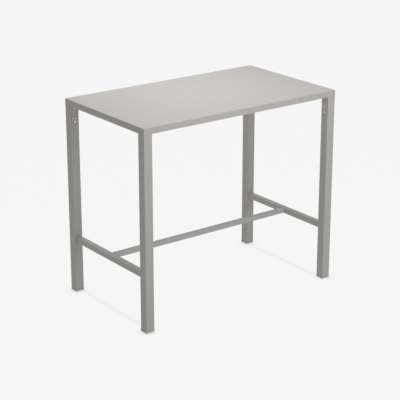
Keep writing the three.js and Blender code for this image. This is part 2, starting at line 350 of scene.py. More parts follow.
# %% Finish helpers
def new_finish(name):
    """A material with a plain Principled surface; gives the material, its tree and that node."""
    finish = bpy.data.materials.new(name)
    finish.use_nodes = True
    tree = finish.node_tree
    tree.nodes.clear()
    surface = place(tree, "ShaderNodeBsdfPrincipled")
    place(tree, "ShaderNodeOutputMaterial", {"Surface": surface.outputs[0]})
    return finish, tree, surface


def effect(tree, group, sizes=None):
    """Place a shared effect on the piece's own coordinates; gives its outputs."""
    at = place(tree, "ShaderNodeTexCoord").outputs["Object"]
    return place(tree, "ShaderNodeGroup", {"Vector": at, **(sizes or {})}, node_tree=group).outputs


def mix(tree, amount, first, second):
    """Mix two colours; gives the output socket."""
    node = place(tree, "ShaderNodeMix", {0: amount, 6: first, 7: second}, data_type="RGBA")
    return node.outputs[2]


def from_to(tree, value, low, high):
    """Stretch a value from 0..1 to low..high."""
    return sums(tree, "ADD", sums(tree, "MULTIPLY", value, high - low), low)


def roughen(tree, surface, height, depth, strength=1.0):
    """Let a height dent the surface's shading, down to a depth."""
    bump = place(tree, "ShaderNodeBump", {
        "Height": height, "Strength": strength, "Distance": depth})
    feed(tree, surface.inputs["Normal"], bump.outputs["Normal"])


print("effects to place:", [group.name for group in bpy.data.node_groups])

# %% Powder coat
CLOUD_STEP, RUBBED_STEP = 3, 18
DUST_TONE, BARE_HIGHLIGHT_TONE = (206, 203, 198), (226, 224, 220)
SATIN = (0.42, 0.54)
DUST_MATT, BARE_HIGHLIGHT_SHINE = 0.3, 0.15


def powder_coat(name, colour, pebbles, depth, dust, wear, bare_highlight=None):
    """The satin coat: pebbles per metre, their depth, shares of dust and wear, and a painted
    highlight line.
    """
    finish, tree, surface = new_finish(name)
    grain = effect(tree, grain_group, {"Pebbles per m": pebbles})
    darker, lighter, rubbed = [
        tone(*[c + step for c in colour]) for step in (-CLOUD_STEP, CLOUD_STEP, RUBBED_STEP)]
    shade = mix(tree, grain["Cloud"], darker, lighter)
    thin = sums(tree, "MULTIPLY", effect(tree, edge_group)["Mask"], wear)
    shade = mix(tree, thin, shade, rubbed)
    dusty = sums(tree, "MULTIPLY", effect(tree, dust_group)["Mask"], dust)
    shade = mix(tree, dusty, shade, tone(*DUST_TONE))
    gloss = from_to(tree, grain["Cloud"], *SATIN)
    gloss = sums(tree, "ADD", gloss, sums(tree, "MULTIPLY", dusty, DUST_MATT))
    # The pale metallic line at the slots' foot is a painted highlight, on uncoated metal.
    if bare_highlight:
        line = effect(tree, ledge_highlight_group, bare_highlight)["Mask"]
        shade = mix(tree, line, shade, tone(*BARE_HIGHLIGHT_TONE))
        gloss = sums(tree, "SUBTRACT", gloss, sums(tree, "MULTIPLY", line, BARE_HIGHLIGHT_SHINE))
        feed(tree, surface.inputs["Metallic"], line)
    feed(tree, surface.inputs["Base Color"], shade)
    feed(tree, surface.inputs["Roughness"], gloss)
    roughen(tree, surface, grain["Height"], depth)
    return finish


print("the coat is satin: roughness from", SATIN[0], "to", SATIN[1])

# %% Coats
# The top's grey is a touch warmer than the tubes': a painted tint for the light on it.
TOP_GREY, TUBE_GREY = (194, 190, 184), (192, 190, 186)
# The posts' grey is painted lighter, to offset the shade in the slots where they show.
POST_GREY_PAINTED_LIGHTER, WELD_GREY = (199, 197, 193), (189, 187, 183)
PEBBLE, WELD_PEBBLE = 0.03 * MM, 0.06 * MM
TUBE_COAT = {"pebbles": 800.0, "depth": PEBBLE, "dust": 0.05, "wear": 0.6}
coat_top = powder_coat("coat_top", TOP_GREY, pebbles=650.0, depth=PEBBLE, dust=0.10, wear=0.5)
coat_tube = powder_coat("coat_tube", TUBE_GREY, **TUBE_COAT)
coat_post = powder_coat("coat_post", POST_GREY_PAINTED_LIGHTER, **TUBE_COAT)
coat_weld = powder_coat(
    "coat_weld", WELD_GREY, pebbles=500.0, depth=WELD_PEBBLE, dust=0.05, wear=0.3)
print("coats", [coat.name for coat in (coat_top, coat_tube, coat_post, coat_weld)])

# %% [markdown]
# ## Stainless steel and moulded plastic
# The screw heads are bright steel, turned on a lathe, so their fine lines run in rings round each
# screw. Eight screws share one object, and its coordinates know nothing of the single screws, so
# the mesh carries each point's own place on its screw as an attribute, and the rings are read from
# that. The feet are plastic from a mould with a fine spark-etched grain: plugs as grey as the
# coat, and pads of white nylon under them, soiled a little where they touch the floor.

# %% Steel
SCREW_PLACE = "place_on_screw"
LINES_PER_M, SMEARS_PER_M = 6000.0, 350.0
LINE_DEPTH, LINE_STRENGTH = 0.02 * MM, 0.6
TURNED = (0.2, 0.42)
STEEL_DARK, STEEL_PALE = (212, 210, 206), (228, 227, 224)
steel, tree, surface = new_finish("turned_steel")
own_place = place(tree, "ShaderNodeAttribute", attribute_name=SCREW_PLACE).outputs["Vector"]
flat = place(tree, "ShaderNodeVectorMath", {0: own_place, 1: (1.0, 1.0, 0.0)}, operation="MULTIPLY")
ring = place(tree, "ShaderNodeVectorMath", {0: flat.outputs["Vector"]}, operation="LENGTH")
lines = place(tree, "ShaderNodeTexNoise", {
    "W": sums(tree, "MULTIPLY", ring.outputs["Value"], LINES_PER_M), "Scale": 1.0, "Detail": 3.0},
    noise_dimensions="1D").outputs["Fac"]
smears = noise(tree, own_place, SMEARS_PER_M, detail=2.0)
feed(tree, surface.inputs["Base Color"], mix(tree, smears, tone(*STEEL_DARK), tone(*STEEL_PALE)))
feed(tree, surface.inputs["Roughness"], from_to(tree, lines, *TURNED))
surface.inputs["Metallic"].default_value = 1.0
roughen(tree, surface, lines, LINE_DEPTH, LINE_STRENGTH)
print("finish", steel.name)

# %% Plastics
MOULD_GRAIN = {"Pebbles per m": 2200.0, "Clouds per m": 30.0}
MOULD_DEPTH = 0.04 * MM
MATT = (0.58, 0.72)
SCUFFED = 0.5


def moulded(name, dark, pale, rubbed):
    """A matt plastic that clouds between two tones and shows a third where its edges are rubbed."""
    finish, tree, surface = new_finish(name)
    grain = effect(tree, grain_group, MOULD_GRAIN)
    shade = mix(tree, grain["Cloud"], tone(*dark), tone(*pale))
    scuffed = sums(tree, "MULTIPLY", effect(tree, edge_group)["Mask"], SCUFFED)
    feed(tree, surface.inputs["Base Color"], mix(tree, scuffed, shade, tone(*rubbed)))
    feed(tree, surface.inputs["Roughness"], from_to(tree, grain["Cloud"], *MATT))
    roughen(tree, surface, grain["Height"], MOULD_DEPTH)
    return finish


plastic = moulded(
    "moulded_plastic", dark=(182, 181, 178), pale=(192, 191, 188), rubbed=(200, 199, 196))
nylon = moulded(
    "white_nylon", dark=(229, 228, 225), pale=(237, 236, 233), rubbed=(214, 212, 207))
print("finishes", plastic.name, nylon.name)

# %% [markdown]
# ## Finishing a mesh
# Every metal edge on the table is slightly round, and that round edge catches the light. A Bevel
# modifier rounds the edges that are still sharp, and Weighted Normals keep the broad faces flat
# in the shading. Then the result becomes the piece's own mesh, and the modifiers go. A last helper
# hangs the finished piece on the frame, in the place of the CAD nodes that it stands for.


# %% Pieces
def new_piece(name, mesh):
    """An object for a mesh, in the scene and at the origin."""
    piece = bpy.data.objects.new(name, mesh)
    scene.collection.objects.link(piece)
    return piece


def bake(piece):
    """Make what the modifiers show the piece's own mesh."""
    graph = bpy.context.evaluated_depsgraph_get()
    mesh = bpy.data.meshes.new_from_object(piece.evaluated_get(graph), depsgraph=graph)
    old = piece.data
    piece.modifiers.clear()
    piece.data = mesh
    bpy.data.meshes.remove(old)
    mesh.name = piece.name
    return piece


def settle(piece, nodes):
    """Hang a finished piece on the frame in the place of its CAD nodes."""
    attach(piece, "root")
    if nodes:
        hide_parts(*nodes)
    print(piece.name, len(piece.data.polygons), "faces, for", len(nodes), "nodes")


# %% Rounded edges
ROUNDED_FROM, CREASED_FROM = math.radians(40.0), math.radians(42.0)
EDGE_STEPS = 2
MERGE = 0.001 * MM


def ease(piece, width=0.0):
    """Round the sharp edges by a width, shade smooth, and keep the flat faces flat."""
    if width:
        bevel = piece.modifiers.new("rounded_edges", "BEVEL")
        bevel.width, bevel.segments = width, EDGE_STEPS
        bevel.limit_method, bevel.angle_limit = "ANGLE", ROUNDED_FROM
        bevel.use_clamp_overlap = True
    bake(piece)
    form = bmesh.new()
    form.from_mesh(piece.data)
    bmesh.ops.remove_doubles(form, verts=form.verts, dist=MERGE)
    form.to_mesh(piece.data)
    form.free()
    for face in piece.data.polygons:
        face.use_smooth = True
    piece.data.set_sharp_from_angle(angle=CREASED_FROM)
    weighted = piece.modifiers.new("flat_faces", "WEIGHTED_NORMAL")
    weighted.keep_sharp = True
    return bake(piece)


print("edges sharper than", round(math.degrees(ROUNDED_FROM)), "degrees are rounded")

# %% [markdown]
# ## The top
# The top is one sheet of metal, folded down along its four edges, with the corners welded and
# ground smooth. A block with a bevel would look the same from above, but from below the real one
# is a tray. So we walk along the section of the sheet, from the underside, down the inside of the
# edge, round its lip and up the outside to the fold, and draw a rounded rectangle at each step.
# Neighbouring rectangles are joined by faces, and a flat face closes each end of the walk.

# %% Rounded rectangle
CORNER_STEPS = 6


def rounded_rectangle(half_x, half_y, radius, z):
    """The points of a rectangle about the origin with rounded corners."""
    points = []
    for quarter, (side_x, side_y) in enumerate([(1, 1), (-1, 1), (-1, -1), (1, -1)]):
        for step in range(CORNER_STEPS + 1):
            turn = math.radians(90.0 * (quarter + step / CORNER_STEPS))
            x = side_x * (half_x - radius) + radius * math.cos(turn)
            y = side_y * (half_y - radius) + radius * math.sin(turn)
            points.append(Vector((x, y, z)))
    return points


print("a rounded rectangle has", len(rounded_rectangle(1.0, 1.0, 0.1, 0.0)), "points")

# %% Loft
TOUCHING = 1e-7


def loft(name, loops, finish, ends=True):
    """A closed mesh through loops of points, capped at both ends or joined end to start."""
    form = bmesh.new()
    rows = [[form.verts.new(p) for p in loop] for loop in loops]
    pairs = list(zip(rows, rows[1:])) + ([] if ends else [(rows[-1], rows[0])])
    for low, high in pairs:
        for i in range(len(low)):
            j = (i + 1) % len(low)
            form.faces.new((low[i], low[j], high[j], high[i]))
    if ends:
        form.faces.new(rows[0][::-1])
        form.faces.new(rows[-1])
    bmesh.ops.remove_doubles(form, verts=form.verts, dist=TOUCHING)
    bmesh.ops.recalc_face_normals(form, faces=form.faces)
    mesh = bpy.data.meshes.new(name)
    form.to_mesh(mesh)
    form.free()
    mesh.materials.append(finish)
    return new_piece(name, mesh)


print("points closer than", round(TOUCHING / MM, 4), "mm become one")

# %% Folded top
SHEET = 2.5 * MM
FOLD, INNER_FOLD = 3.0 * MM, 0.8 * MM
LIP = 0.6 * MM
TOP_CORNER, LEAST_RADIUS = 3.4 * MM, 0.3 * MM


def arc(centre, radius, start, stop, steps):
    """Points of an arc in a section, as pairs of inset and height."""
    turns = [math.radians(start + (stop - start) * i / steps) for i in range(steps + 1)]
    return [(centre[0] + radius * math.cos(t), centre[1] + radius * math.sin(t)) for t in turns]


top_low, top_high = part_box("top_panel")
section = arc((SHEET + INNER_FOLD, top_high.z - SHEET - INNER_FOLD), INNER_FOLD, 90, 180, steps=4)
section += arc((SHEET - LIP, top_low.z + LIP), LIP, 0, -90, steps=3)
section += arc((LIP, top_low.z + LIP), LIP, 270, 180, steps=3)
section += arc((FOLD, top_high.z - FOLD), FOLD, 180, 90, steps=8)
loops = []
for inset, height in section:
    corner = max(TOP_CORNER - inset, LEAST_RADIUS)
    loops.append(rounded_rectangle(top_high.x - inset, top_high.y - inset, corner, height))
settle(ease(loft("folded_top", loops, coat_top)), ["top_panel"])

# %% [markdown]
# ## Square tube, by rule
# Legs, rails and the frame under the top are all lengths of square tube that differ only in size.
# Each could be a block with its inside cut out. But the rule is always the same, so one Geometry
# Nodes tree draws them all: an outline with rounded corners, a smaller one inside it, a face
# between the two, and that face pulled along the tube's length. The sizes are named inputs, and
# each tube gets its own from the box of its CAD node.

# %% Tree helpers
FINISH_INPUT = ("Finish", "NodeSocketMaterial", None)
PLACE_INPUTS = [("Middle", VECTOR, None), ("Turn", "NodeSocketRotation", None), FINISH_INPUT]


def tree_with_inputs(name, inputs):
    """A Geometry Nodes tree with named inputs and one output."""
    return new_group(name, "GeometryNodeTree", inputs, [("Geometry", "NodeSocketGeometry")])


def soft_square(tree, width, depth, radius):
    """A rectangle with rounded corners, as a curve."""
    square = place(tree, "GeometryNodeCurvePrimitiveQuadrilateral", {
        "Width": width, "Height": depth})
    rounded = place(tree, "GeometryNodeFilletCurve", {
        "Curve": square.outputs[0], "Count": CORNER_STEPS, "Radius": radius}, mode="POLY")
    return rounded.outputs[0]


def moved(tree, given, shape):
    """Turn a shape and put its middle where the inputs say."""
    node = place(tree, "GeometryNodeTransform", {
        "Geometry": shape, "Translation": given.outputs["Middle"],
        "Rotation": given.outputs["Turn"]})
    return node.outputs[0]


def end_tree(tree, given, result, shape):
    """Make every copy real, give it the finish, and let that be the tree's result."""
    real = place(tree, "GeometryNodeRealizeInstances", {"Geometry": shape})
    finished = place(tree, "GeometryNodeSetMaterial", {
        "Geometry": real.outputs[0], "Material": given.outputs["Finish"]})
    feed(tree, result.inputs[0], finished.outputs[0])
    print("tree", tree.name, len(tree.nodes), "nodes")


print("every tube takes", [name for name, kind, value in PLACE_INPUTS])

# %% Tube tree
tube_tree, given, result = tree_with_inputs("square_tube", [
    ("Width", FLOAT, 0.05), ("Depth", FLOAT, 0.05), ("Length", FLOAT, 1.0), ("Wall", FLOAT, 0.003),
    ("Corner radius", FLOAT, 0.001), *PLACE_INPUTS,
])
outlines = []
for walls in (0.0, 2.0):
    less = sums(tube_tree, "MULTIPLY", given.outputs["Wall"], walls)
    width = sums(tube_tree, "SUBTRACT", given.outputs["Width"], less)
    depth = sums(tube_tree, "SUBTRACT", given.outputs["Depth"], less)
    inset = sums(tube_tree, "MULTIPLY", less, 0.5)
    radius = sums(tube_tree, "SUBTRACT", given.outputs["Corner radius"], inset)
    radius = sums(tube_tree, "MAXIMUM", radius, LEAST_RADIUS)
    outlines.append(soft_square(tube_tree, width, depth, radius))
both = place(tube_tree, "GeometryNodeJoinGeometry", {0: outlines})
ring = place(tube_tree, "GeometryNodeFillCurve", {"Curve": both.outputs[0]}, mode="NGONS")
back = sums(tube_tree, "MULTIPLY", given.outputs["Length"], -0.5)
back = place(tube_tree, "ShaderNodeCombineXYZ", {"Z": back})
foot = place(tube_tree, "GeometryNodeTransform", {
    "Geometry": ring.outputs[0], "Translation": back.outputs[0]})
pulled = place(tube_tree, "GeometryNodeExtrudeMesh", {
    "Mesh": foot.outputs[0], "Offset": (0.0, 0.0, 1.0), "Offset Scale": given.outputs["Length"],
    "Individual": False}, mode="FACES")
closing = place(tube_tree, "GeometryNodeFlipFaces", {"Mesh": foot.outputs[0]})
whole = place(tube_tree, "GeometryNodeJoinGeometry", {
    0: [pulled.outputs["Mesh"], closing.outputs[0]]})
sealed = place(tube_tree, "GeometryNodeMergeByDistance", {
    "Geometry": whole.outputs[0], "Distance": MERGE})
end_tree(tube_tree, given, result, moved(tube_tree, given, sealed.outputs[0]))

# %% Draw one tube
TUBE_CORNER = 1.0 * MM
ALONG = [Euler((0.0, math.pi / 2, 0.0)), Euler((-math.pi / 2, 0.0, 0.0)), Euler((0.0, 0.0, 0.0))]


def grow(name, tree, sizes, base=None):
    """An object that a Geometry Nodes tree makes from named sizes, as a plain mesh."""
    piece = new_piece(name, base or bpy.data.meshes.new(name))
    modifier = piece.modifiers.new(tree.name, "NODES")
    modifier.node_group = tree
    for item in tree.interface.items_tree:
        if item.in_out == "INPUT" and item.name in sizes:
            modifier[item.identifier] = sizes[item.name]
    return bake(piece)


def tube(name, node, wall, finish=coat_tube):
    """A square tube that fills the box of a CAD node, along its longest side."""
    low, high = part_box(node)
    size = high - low
    along = max(range(3), key=lambda axis: size[axis])
    width, depth = [(size.z, size.y), (size.x, size.z), (size.x, size.y)][along]
    return grow(name, tube_tree, {
        "Width": width, "Depth": depth, "Length": size[along], "Wall": wall,
        "Corner radius": TUBE_CORNER, "Middle": (low + high) / 2, "Turn": ALONG[along],
        "Finish": finish})


print("a tube can lie along", len(ALONG), "axes")

# %% Rails and frame
RAIL_WALL, FRAME_WALL = 1.5 * MM, 2.0 * MM
FRAME_EDGE = 0.3 * MM
RAILS = ("end_rail_left", "end_rail_right", "centre_rail")
for node in RAILS:
    settle(ease(tube("tube_" + node, node, RAIL_WALL)), [node])
frame_nodes = ["frame_rail_" + side for side in ("front", "back", "left", "right")]
frame_nodes += ["cross_bar_" + str(i) for i in (1, 2, 3)]
for node in frame_nodes:
    settle(ease(tube("tube_" + node, node, FRAME_WALL), FRAME_EDGE), [node])

# %% [markdown]
# ## The legs
# A leg is the same tube, but each of the two walls that face the middle of the table has a slot
# down from its top end, where the post inside the leg shows. The foot of that slot is the small
# bright ledge on the inner faces. Below it, each inner wall has a hole for a screw. Cuts are what
# the Boolean modifier is for: one cutter holds the boxes of both slots and the two round holes.

# %% Cut helpers
HOLE_STEPS = 24


def add_block(form, low, high):
    """Add a box between two corners to a mesh that is being made."""
    made = bmesh.ops.create_cube(form, size=1.0)["verts"]
    for vert in made:
        vert.co = Vector(low[i] + (vert.co[i] + 0.5) * (high[i] - low[i]) for i in range(3))


def add_rod(form, axis, radius, start, stop):
    """Add a round rod between two points that lie along X or Y."""
    made = bmesh.ops.create_cone(
        form, cap_ends=True, segments=HOLE_STEPS, radius1=radius, radius2=radius,
        depth=(stop - start).length)
    turn = Euler((0.0, math.pi / 2, 0.0) if axis == 0 else (math.pi / 2, 0.0, 0.0)).to_matrix()
    for vert in made["verts"]:
        vert.co = turn @ vert.co + (start + stop) / 2


def cut(piece, form):
    """Take the shapes in a mesh away from a piece."""
    mesh = bpy.data.meshes.new("cutter")
    bmesh.ops.recalc_face_normals(form, faces=form.faces)
    form.to_mesh(mesh)
    form.free()
    cutter = new_piece("cutter", mesh)
    boolean = piece.modifiers.new("cut", "BOOLEAN")
    boolean.operation, boolean.solver, boolean.object = "DIFFERENCE", "EXACT", cutter
    bake(piece)
    bpy.data.objects.remove(cutter)
    bpy.data.meshes.remove(mesh)
    return piece


print("a hole has", HOLE_STEPS, "sides")

# %% Slotted legs
# For each corner, the signs say which way along X and Y the middle of the table lies.
CORNERS = {
    "front_left": (1, 1), "front_right": (-1, 1), "back_left": (1, -1), "back_right": (-1, -1)}
LEG_WALL, LEG_EDGE = 3.0 * MM, 0.35 * MM
SLOT_WIDTH, SLOT_DEPTH = 34.0 * MM, 70.0 * MM
SCREW_HOLE = 3.3 * MM
OVER = 5.0 * MM
low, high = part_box("leg_front_right")
# The legs' coat carries the painted highlight line at the foot of the slots.
coat_leg = powder_coat("coat_leg", TUBE_GREY, **TUBE_COAT, bare_highlight={
    "Height": high.z - SLOT_DEPTH, "Middle": (low.x + high.x) / 2, "Half length": SLOT_WIDTH / 2})
for corner, inward in CORNERS.items():
    node = "leg_" + corner
    leg = tube("tube_" + node, node, LEG_WALL, coat_leg)
    low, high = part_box(node)
    middle, half = (low + high) / 2, (high - low) / 2
    form = bmesh.new()
    for axis, letter in enumerate("xy"):
        screw_low, screw_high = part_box(f"leg_screw_{letter}_{corner}")
        start, stop = middle.copy(), middle.copy()
        start.z = stop.z = (screw_low.z + screw_high.z) / 2
        start[axis] += inward[axis] * (half[axis] - LEG_WALL - OVER)
        stop[axis] += inward[axis] * (half[axis] + OVER)
        add_rod(form, axis, SCREW_HOLE, start, stop)
        slot_low, slot_high = middle.copy(), middle.copy()
        slot_low[axis], slot_high[axis] = sorted((start[axis], stop[axis]))
        slot_low[1 - axis] -= SLOT_WIDTH / 2
        slot_high[1 - axis] += SLOT_WIDTH / 2
        slot_low.z, slot_high.z = high.z - SLOT_DEPTH, high.z + OVER
        add_block(form, slot_low, slot_high)
    settle(ease(cut(leg, form), LEG_EDGE), [node])

# %% [markdown]
# ## Posts and plates under the top
# Behind the slots stands a corner post, a length of angle section welded under a corner plate.
# The leg slides over it, and the upper screws go through it. The plate is a square of flat bar
# with its inner corner cut off. Both are drawn as outlines and raised, which gives true corners
# to round, and the post gets its screw holes in the same way as the leg.

# %% Raised outlines
ROUND_STEPS = 4


def sides(node, inward):
    """A node's box, and its X and Y towards the middle of the table and away from it."""
    low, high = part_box(node)
    inner = [high[i] if inward[i] > 0 else low[i] for i in (0, 1)]
    outer = [low[i] if inward[i] > 0 else high[i] for i in (0, 1)]
    return low, high, inner, outer


def rounded_outline(points, radii):
    """A closed outline with each corner rounded by its own radius."""
    outline = []
    for i, (point, radius) in enumerate(zip(points, radii)):
        here = Vector(point)
        before = (Vector(points[i - 1]) - here).normalized()
        after = (Vector(points[(i + 1) % len(points)]) - here).normalized()
        half_angle = before.angle(after) / 2
        centre = here + (before + after).normalized() * (radius / math.sin(half_angle))
        first = here + before * (radius / math.tan(half_angle)) - centre
        last = here + after * (radius / math.tan(half_angle)) - centre
        start = math.atan2(first.y, first.x)
        sweep = (math.atan2(last.y, last.x) - start + math.pi) % (2 * math.pi) - math.pi
        for step in range(ROUND_STEPS + 1):
            turn = start + sweep * step / ROUND_STEPS
            outline.append(centre + radius * Vector((math.cos(turn), math.sin(turn))))
    return outline


def raised(name, outline, low, high, finish):
    """A flat outline raised between two heights."""
    return loft(name, [[Vector((x, y, z)) for x, y in outline] for z in (low, high)], finish)


print("a rounded corner has", ROUND_STEPS + 1, "points")

# %% Corner posts
POST_WALL, POST_EDGE = 4.0 * MM, 0.3 * MM
POST_ROOT, POST_TOE, POST_HEEL = 2.5 * MM, 1.5 * MM, 0.4 * MM
THREADED_HOLE = 3.1 * MM
for corner, inward in CORNERS.items():
    node = "corner_post_" + corner
    low, high, inner, outer = sides(node, inward)
    wall = [inner[i] - inward[i] * POST_WALL for i in (0, 1)]
    points = [(inner[0], inner[1]), (outer[0], inner[1]), (outer[0], wall[1]),
              (wall[0], wall[1]), (wall[0], outer[1]), (inner[0], outer[1])]
    radii = [POST_HEEL, POST_HEEL, POST_TOE, POST_ROOT, POST_TOE, POST_HEEL]
    post = raised("angle_" + node, rounded_outline(points, radii), low.z, high.z, coat_post)
    form = bmesh.new()
    for axis, letter in enumerate("xy"):
        for screw, hole in (("post_bolt", SCREW_HOLE), ("leg_screw", THREADED_HOLE)):
            screw_low, screw_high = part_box(f"{screw}_{letter}_{corner}")
            start = (screw_low + screw_high) / 2
            stop = start.copy()
            start[axis] = inner[axis] - inward[axis] * (POST_WALL + OVER)
            stop[axis] = inner[axis] + inward[axis] * OVER
            add_rod(form, axis, hole, start, stop)
    settle(ease(cut(post, form), POST_EDGE), [node])

# %% Corner plates
PLATE_CUT, PLATE_EDGE = 30.0 * MM, 0.4 * MM
PLATE_RADII = [1.5 * MM, 2.5 * MM, 4.0 * MM, 4.0 * MM, 2.5 * MM]
for corner, inward in CORNERS.items():
    node = "corner_plate_" + corner
    low, high, inner, outer = sides(node, inward)
    points = [(outer[0], outer[1]), (inner[0], outer[1]),
              (inner[0], inner[1] - inward[1] * PLATE_CUT),
              (inner[0] - inward[0] * PLATE_CUT, inner[1]), (outer[0], inner[1])]
    plate = raised("flat_" + node, rounded_outline(points, PLATE_RADII), low.z, high.z, coat_tube)
    settle(ease(plate, PLATE_EDGE), [node])

# %% [markdown]
# ## Weld beads
# The rails are butt welded: where a rail meets a leg or another rail, a small bead of metal runs
# once round the tube. It is coated over, so it reads only as a soft line in the corner. A bead
# follows a path, so a second tree sweeps a small circle along the tube's outline, and the ripples
# that a welder leaves come from letting the circle swell and shrink with the distance along it.

# %% Weld tree
BEAD_POINTS, BEAD_SIDES = 160, 10
bead_tree, given, result = tree_with_inputs("weld_bead", [
    ("Width", FLOAT, 0.03), ("Depth", FLOAT, 0.03), ("Corner radius", FLOAT, 0.002),
    ("Bead radius", FLOAT, 0.0015), ("Ripple", FLOAT, 0.10), ("Ripple length", FLOAT, 0.0022),
    *PLACE_INPUTS,
])
outline = soft_square(
    bead_tree, given.outputs["Width"], given.outputs["Depth"], given.outputs["Corner radius"])
even = place(bead_tree, "GeometryNodeResampleCurve", {
    "Curve": outline, "Count": BEAD_POINTS}, mode="COUNT")
along = place(bead_tree, "GeometryNodeSplineParameter").outputs["Length"]
wave = sums(bead_tree, "DIVIDE", along, given.outputs["Ripple length"])
wave = sums(bead_tree, "SINE", sums(bead_tree, "MULTIPLY", wave, 2 * math.pi))
swell = sums(bead_tree, "ADD", 1.0, sums(bead_tree, "MULTIPLY", wave, given.outputs["Ripple"]))
ring = place(bead_tree, "GeometryNodeCurvePrimitiveCircle", {
    "Resolution": BEAD_SIDES, "Radius": given.outputs["Bead radius"]})
swept = place(bead_tree, "GeometryNodeCurveToMesh", {
    "Curve": even.outputs[0], "Profile Curve": ring.outputs[0], "Scale": swell})
end_tree(bead_tree, given, result, moved(bead_tree, given, swept.outputs[0]))

# %% Beads on the rails
BEAD, BEAD_CORNER = 1.5 * MM, 2.0 * MM
RIPPLE, RIPPLE_LENGTH = 0.10, 2.2 * MM
for node in RAILS:
    low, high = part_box(node)
    size = high.z - low.z
    axis = 0 if node == "centre_rail" else 1
    for end, word in ((low, "low"), (high, "high")):
        middle = (low + high) / 2
        middle[axis] = end[axis]
        bead = grow(f"weld_{node}_{word}", bead_tree, {
            "Width": size, "Depth": size, "Corner radius": BEAD_CORNER, "Bead radius": BEAD,
            "Ripple": RIPPLE, "Ripple length": RIPPLE_LENGTH,
            "Middle": middle, "Turn": ALONG[axis], "Finish": coat_weld})
        settle(ease(bead), [])

# %% [markdown]
# ## Screws and nuts
# Each inner face near the top of a leg shows two button-head screws with hexagon sockets: a long
# one through the post and, below it, a short one through the leg's own wall. Screws are what
# instances are for. One screw of each kind is drawn about the Z axis, as rings of points round
# it: tip, thread, underside, dome, then down into the socket, where the ring turns into a hexagon.
# A tree then puts a copy on each seat, with its head turned to the middle of the table.

# %% Rings
RING_STEPS = 24


def on_ring(radius, step, z):
    """One point of a ring about the Z axis."""
    turn = 2 * math.pi * step / RING_STEPS
    return Vector((radius * math.cos(turn), radius * math.sin(turn), z))


def circle(radius, z):
    """A ring of points about the Z axis."""
    return [on_ring(radius, i, z) for i in range(RING_STEPS)]


def hexagon(across, z):
    """The same ring pulled into a hexagon, given its width across the flats."""
    turns = [math.radians(360.0 * i / RING_STEPS % 60.0 - 30.0) for i in range(RING_STEPS)]
    return [on_ring(across / 2 / math.cos(turn), i, z) for i, turn in enumerate(turns)]


print("a ring has", RING_STEPS, "points")

# %% Thread
PITCH, THREAD_DEPTH = 1.0 * MM, 0.45 * MM
RINGS_PER_TURN = 6


def thread(radius, start, stop):
    """Rings whose radius rises and falls with the turn, so that the ridge climbs as a helix."""
    rings = []
    count = round((stop - start) / PITCH * RINGS_PER_TURN)
    for k in range(count + 1):
        z = start + (stop - start) * k / count
        fade = min(1.0, k / RINGS_PER_TURN, (count - k) / RINGS_PER_TURN)
        climbs = [(z / PITCH - i / RING_STEPS) % 1.0 for i in range(RING_STEPS)]
        depths = [THREAD_DEPTH * abs(2 * climb - 1) * fade for climb in climbs]
        rings.append([on_ring(radius - depth, i, z) for i, depth in enumerate(depths)])
    return rings


print("one turn of thread climbs", PITCH / MM, "mm")


# %% Turned pieces
def finish_turned(name, loops, ends=True):
    """A steel piece through rings of points, each point marked with its own place on the piece."""
    piece = ease(loft(name, loops, steel, ends))
    own = piece.data.attributes.new(SCREW_PLACE, "FLOAT_VECTOR", "POINT")
    own.data.foreach_set("vector", [v for vert in piece.data.vertices for v in vert.co])
    print(name, len(piece.data.polygons), "faces")
    return piece


print("turned pieces are", steel.name)

# %% One screw
SHANK = 2.95 * MM
HEAD_RIM, HEAD_CROWN = 5.25 * MM, 2.8 * MM
HEAD_SIDE, HEAD_HEIGHT = 0.8 * MM, 3.3 * MM
DOME_STEPS = 8
SOCKET, SOCKET_DEPTH = 4.0 * MM, 1.7 * MM


def button_screw(name, length, plain):
    """A button-head screw with its seat at the origin, its head along +Z and its shank along -Z."""
    loops = [circle(1.2 * MM, -length), circle(2.2 * MM, -length + 0.1 * MM)]
    loops += thread(SHANK, -length + 0.8 * MM, -plain)
    loops += [circle(SHANK, -plain + 0.3 * MM)] if plain > 0.5 * MM else []
    loops += [circle(SHANK, -0.1 * MM), circle(SHANK + 0.15 * MM, 0.02 * MM)]
    loops += [circle(HEAD_RIM - 0.25 * MM, 0.02 * MM), circle(HEAD_RIM - 0.05 * MM, 0.12 * MM)]
    loops += [circle(HEAD_RIM, 0.3 * MM), circle(HEAD_RIM, HEAD_SIDE)]
    for i in range(1, DOME_STEPS + 1):
        turn = math.radians(90.0 * i / DOME_STEPS)
        radius = HEAD_CROWN + (HEAD_RIM - HEAD_CROWN) * math.cos(turn)
        loops.append(circle(radius, HEAD_SIDE + (HEAD_HEIGHT - HEAD_SIDE) * math.sin(turn)))
    floor_z = HEAD_HEIGHT - SOCKET_DEPTH
    loops += [circle(2.62 * MM, HEAD_HEIGHT), hexagon(SOCKET + 0.2 * MM, HEAD_HEIGHT - 0.12 * MM)]
    loops += [hexagon(SOCKET, HEAD_HEIGHT - 0.3 * MM), hexagon(SOCKET, floor_z)]
    loops += [hexagon(SOCKET - 0.3 * MM, floor_z - 0.1 * MM), circle(0.3 * MM, floor_z - 0.6 * MM)]
    return finish_turned(name, loops)


long_screw = button_screw("long_screw", length=43.4 * MM, plain=24.0 * MM)
short_screw = button_screw("short_screw", length=12.0 * MM, plain=0.4 * MM)

